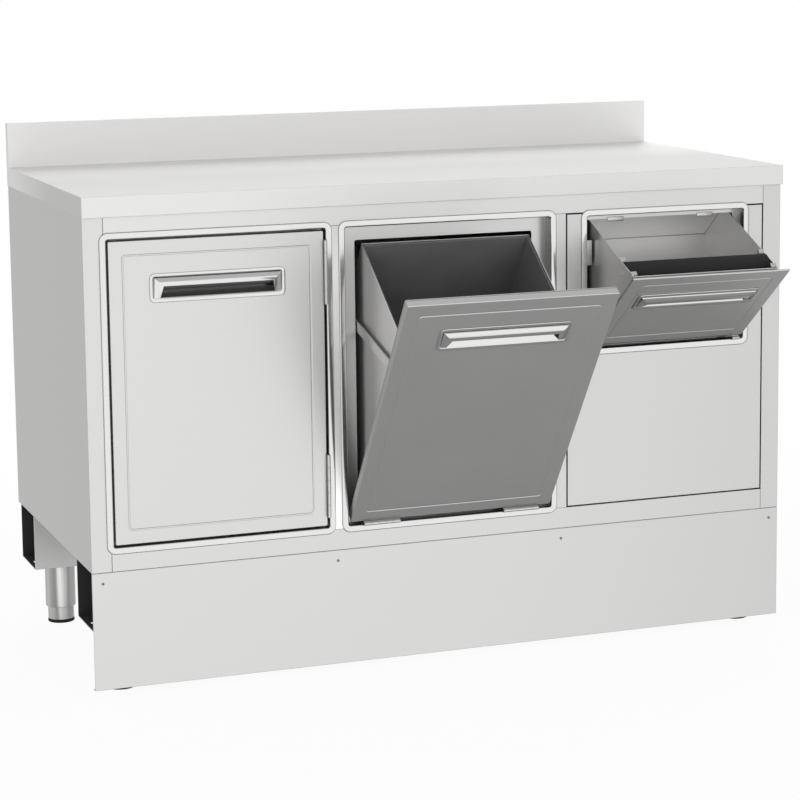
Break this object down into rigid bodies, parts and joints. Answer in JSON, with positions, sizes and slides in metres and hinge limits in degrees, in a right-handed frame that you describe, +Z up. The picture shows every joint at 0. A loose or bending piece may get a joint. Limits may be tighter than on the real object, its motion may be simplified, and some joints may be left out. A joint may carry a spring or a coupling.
{
  "type": "coffee machine counter",
  "caption": "Stainless steel coffee machine counter with rear upstand, a hinged cupboard door, a tilting waste hopper and a tilting knock-out hopper with a rubber bar, on adjustable feet.",
  "frame": {"origin": "on the floor, under the middle of the footprint with both hoppers tilted out", "axes": "+X along the counter towards the knock-out hopper, +Y to the back, +Z up"},
  "size_m": [1.5, 1.0396, 1.08],
  "materials": {
    "satin_steel": "satin brushed",
    "polished_steel": "polished",
    "black_rubber": "matte",
    "dark_grey_plastic": "matte",
    "chipboard": "raw",
    "magnet": "matte"
  },
  "bodies": {
    "cabinet": {"worktop": "satin_steel", "worktop_core": "chipboard", "left_side_panel": "satin_steel", "right_side_panel": "satin_steel", "back_panel": "satin_steel", "base_panel": "satin_steel", "top_rail": "satin_steel", "bottom_rail": "satin_steel", "left_mullion": "satin_steel", "right_mullion": "satin_steel", "left_partition": "satin_steel", "right_partition": "satin_steel", "front_leg_beam": "satin_steel", "rear_leg_beam": "satin_steel", "leg_sleeve_front_left": "satin_steel", "leg_sleeve_front_right": "satin_steel", "leg_sleeve_rear_left": "satin_steel", "leg_sleeve_rear_right": "satin_steel", "plinth": "satin_steel", "infill_panel": "satin_steel", "infill_seat": "satin_steel", "left_rim": "polished_steel", "middle_rim": "polished_steel", "small_rim": "polished_steel", "magnet_catch": "magnet", "upper_hinge_frame_leaf": "satin_steel", "lower_hinge_frame_leaf": "satin_steel", "middle_left_hinge_frame_leaf": "satin_steel", "middle_right_hinge_frame_leaf": "satin_steel", "small_left_hinge_frame_leaf": "satin_steel", "small_right_hinge_frame_leaf": "satin_steel"},
    "left_door": {"left_door_skin": "satin_steel", "left_door_liner": "satin_steel", "left_door_handle": "polished_steel", "upper_hinge_door_leaf": "satin_steel", "lower_hinge_door_leaf": "satin_steel"},
    "middle_hopper": {"middle_door_skin": "satin_steel", "middle_door_liner": "satin_steel", "middle_door_handle": "polished_steel", "middle_left_hinge_door_leaf": "satin_steel", "middle_right_hinge_door_leaf": "satin_steel", "bin_box": "satin_steel", "waste_bin": "dark_grey_plastic", "bin_strap": "satin_steel"},
    "small_hopper": {"small_door_skin": "satin_steel", "small_door_liner": "satin_steel", "small_door_handle": "polished_steel", "small_left_hinge_door_leaf": "satin_steel", "small_right_hinge_door_leaf": "satin_steel", "knock_box": "satin_steel", "knock_rod": "satin_steel", "knock_bar": "black_rubber"},
    "foot_front_left": {"foot_front_left": "satin_steel", "foot_pad_front_left": "black_rubber"},
    "foot_front_right": {"foot_front_right": "satin_steel", "foot_pad_front_right": "black_rubber"},
    "foot_rear_left": {"foot_rear_left": "satin_steel", "foot_pad_rear_left": "black_rubber"},
    "foot_rear_right": {"foot_rear_right": "satin_steel", "foot_pad_rear_right": "black_rubber"}
  },
  "joints": [
    {"name": "left_door_swing", "type": "hinge", "parent": "cabinet", "child": "left_door", "pos_m": [-0.26317, -0.1784, 0.6], "axis": [0, 0, 1], "range_deg": [0, 90]},
    {"name": "middle_hopper_tilt", "type": "hinge", "parent": "cabinet", "child": "middle_hopper", "pos_m": [0, -0.1784, 0.2995], "axis": [1, 0, 0], "range_deg": [-35.5, 0]},
    {"name": "small_hopper_tilt", "type": "hinge", "parent": "cabinet", "child": "small_hopper", "pos_m": [0.48233, -0.1784, 0.6245], "axis": [1, 0, 0], "range_deg": [-52.5, 0]},
    {"name": "foot_front_left_slide", "type": "slide", "parent": "cabinet", "child": "foot_front_left", "axis": [0, 0, -1], "range_m": [0, 0.03]},
    {"name": "foot_front_right_slide", "type": "slide", "parent": "cabinet", "child": "foot_front_right", "axis": [0, 0, -1], "range_m": [0, 0.03]},
    {"name": "foot_rear_left_slide", "type": "slide", "parent": "cabinet", "child": "foot_rear_left", "axis": [0, 0, -1], "range_m": [0, 0.03]},
    {"name": "foot_rear_right_slide", "type": "slide", "parent": "cabinet", "child": "foot_rear_right", "axis": [0, 0, -1], "range_m": [0, 0.03]}
  ]
}
